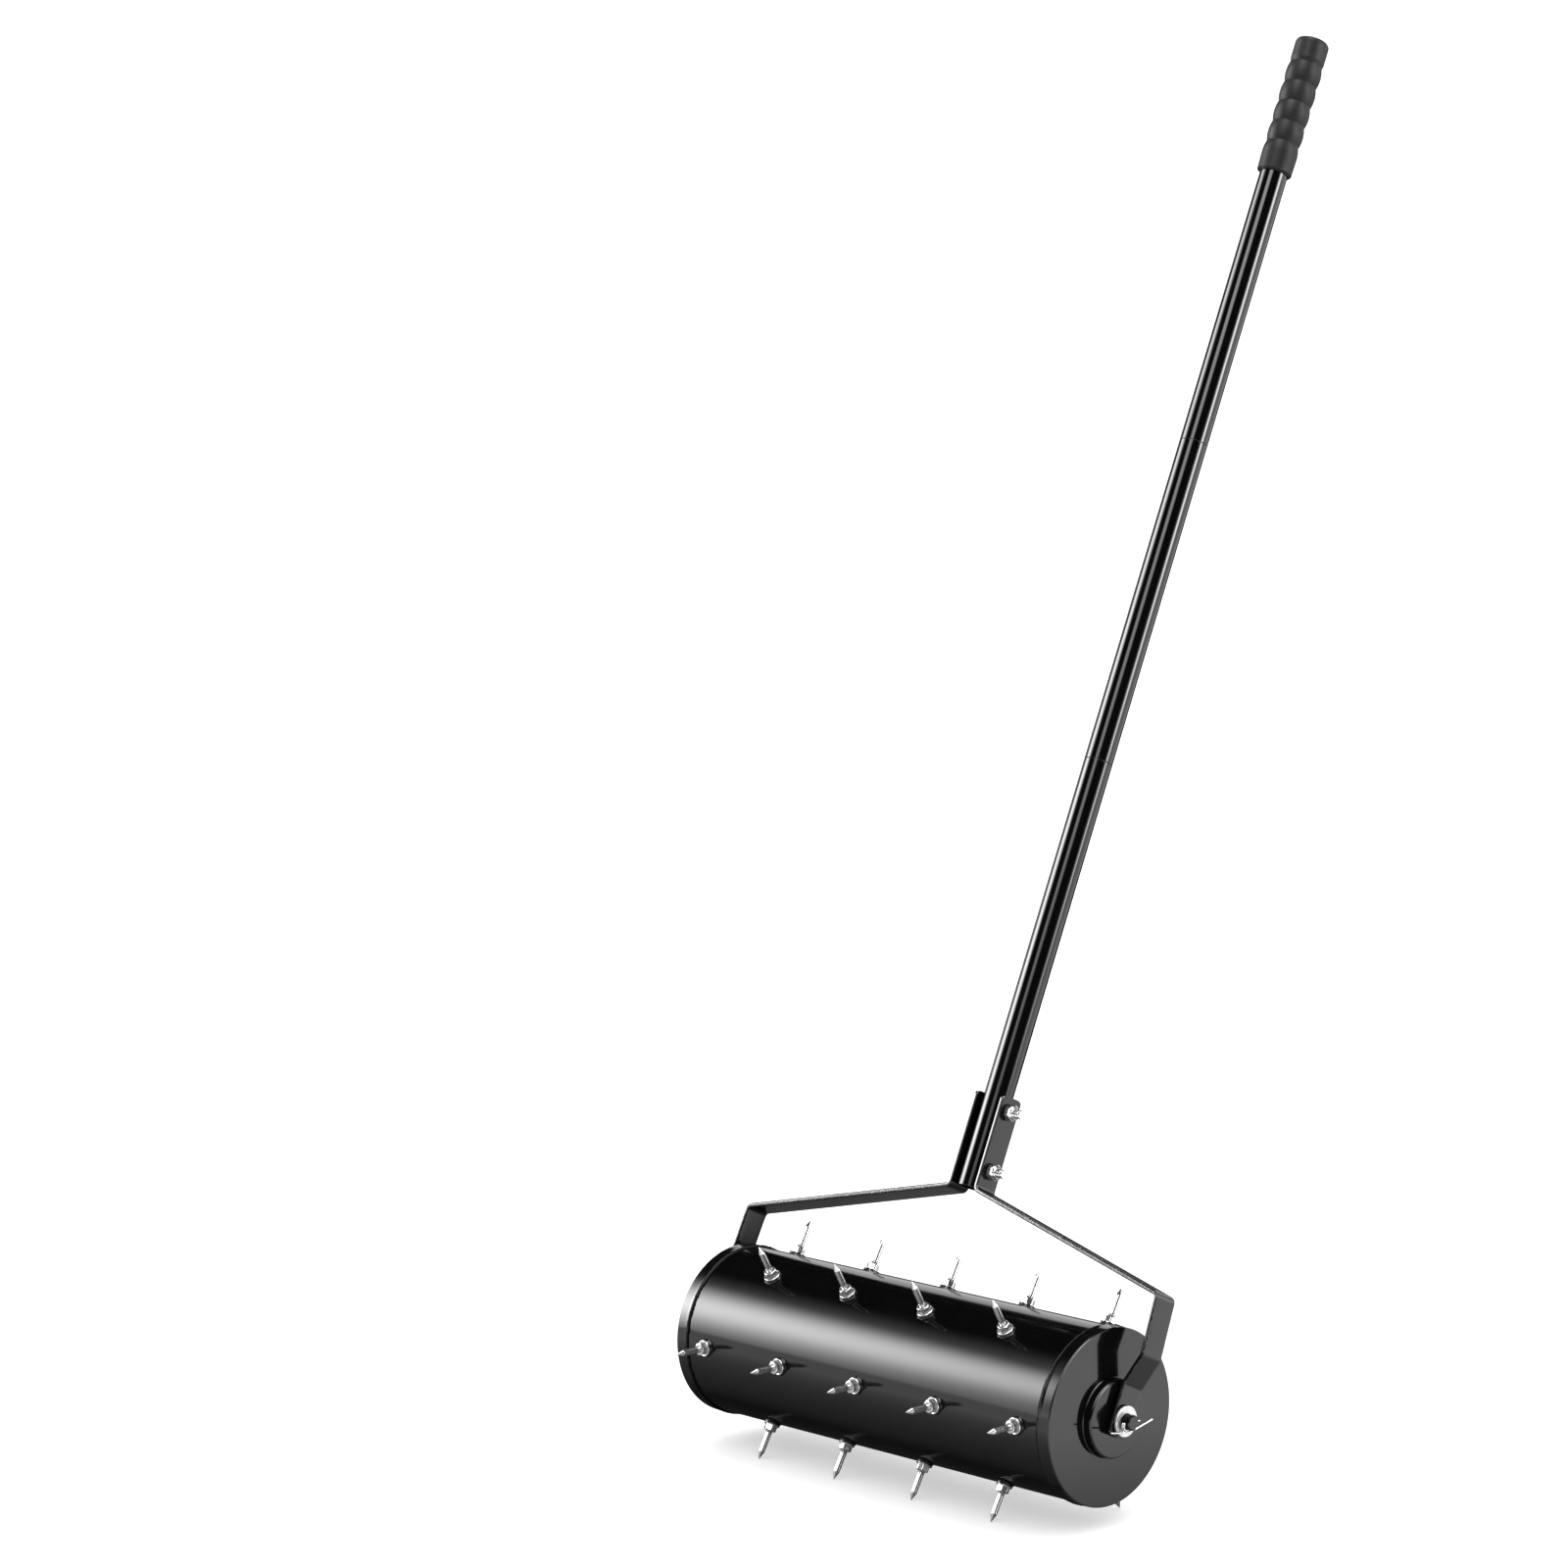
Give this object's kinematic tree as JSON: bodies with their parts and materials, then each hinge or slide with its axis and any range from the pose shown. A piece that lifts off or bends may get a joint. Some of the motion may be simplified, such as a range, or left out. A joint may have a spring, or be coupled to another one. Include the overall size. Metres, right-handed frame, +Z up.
{
  "type": "rolling spike aerator",
  "caption": "Push lawn aerator: a hollow steel drum with rows of bolted-on spikes rolls on an axle in a two-armed flat bar fork on a long jointed tube handle with a soft grip.",
  "frame": {"origin": "on the handle's axis at the middle of the soft grip, where a hand holds it", "axes": "+X along the drum's axle, from the bolt heads' side to the lock nuts' side; +Y level, the way the handle leans; +Z up, square to the lawn"},
  "size_m": [0.49, 0.625, 1.2281],
  "materials": {
    "gloss_black_steel": "gloss black powder coat",
    "satin_black_bar": "satin to gloss black powder coat, rough sheared edges",
    "bright_zinc": "bright zinc plating",
    "soft_black_grip": "soft matt black"
  },
  "bodies": {
    "frame": {"handle_tube_lower": "gloss_black_steel", "handle_tube_middle": "gloss_black_steel", "handle_tube_upper": "gloss_black_steel", "grip": "soft_black_grip", "bracket_right": "satin_black_bar", "bracket_left": "satin_black_bar", "bolt_upper": "bright_zinc", "bolt_lower": "bright_zinc", "nut_upper": "bright_zinc", "nut_lower": "bright_zinc"},
    "drum": {"drum_shell": "gloss_black_steel", "drum_axle": "gloss_black_steel", "end_cap_right": "gloss_black_steel", "end_cap_left": "gloss_black_steel", "axle_washer_right": "bright_zinc", "axle_washer_left": "bright_zinc", "split_pin_right": "bright_zinc", "split_pin_left": "bright_zinc", "spike_r1_1": "bright_zinc", "spike_r1_2": "bright_zinc", "spike_r1_3": "bright_zinc", "spike_r1_4": "bright_zinc", "spike_r1_5": "bright_zinc", "spike_r2_1": "bright_zinc", "spike_r2_2": "bright_zinc", "spike_r2_3": "bright_zinc", "spike_r2_4": "bright_zinc", "spike_r3_1": "bright_zinc", "spike_r3_2": "bright_zinc", "spike_r3_3": "bright_zinc", "spike_r3_4": "bright_zinc", "spike_r3_5": "bright_zinc", "spike_r4_1": "bright_zinc", "spike_r4_2": "bright_zinc", "spike_r4_3": "bright_zinc", "spike_r4_4": "bright_zinc", "spike_r5_1": "bright_zinc", "spike_r5_2": "bright_zinc", "spike_r5_3": "bright_zinc", "spike_r5_4": "bright_zinc", "spike_r5_5": "bright_zinc", "spike_r6_1": "bright_zinc", "spike_r6_2": "bright_zinc", "spike_r6_3": "bright_zinc", "spike_r6_4": "bright_zinc"}
  },
  "joints": [
    {"name": "drum_roll", "type": "hinge", "parent": "frame", "child": "drum", "pos_m": [0, -0.47785, -1.07076], "axis": [1, 0, 0], "continuous": true}
  ]
}
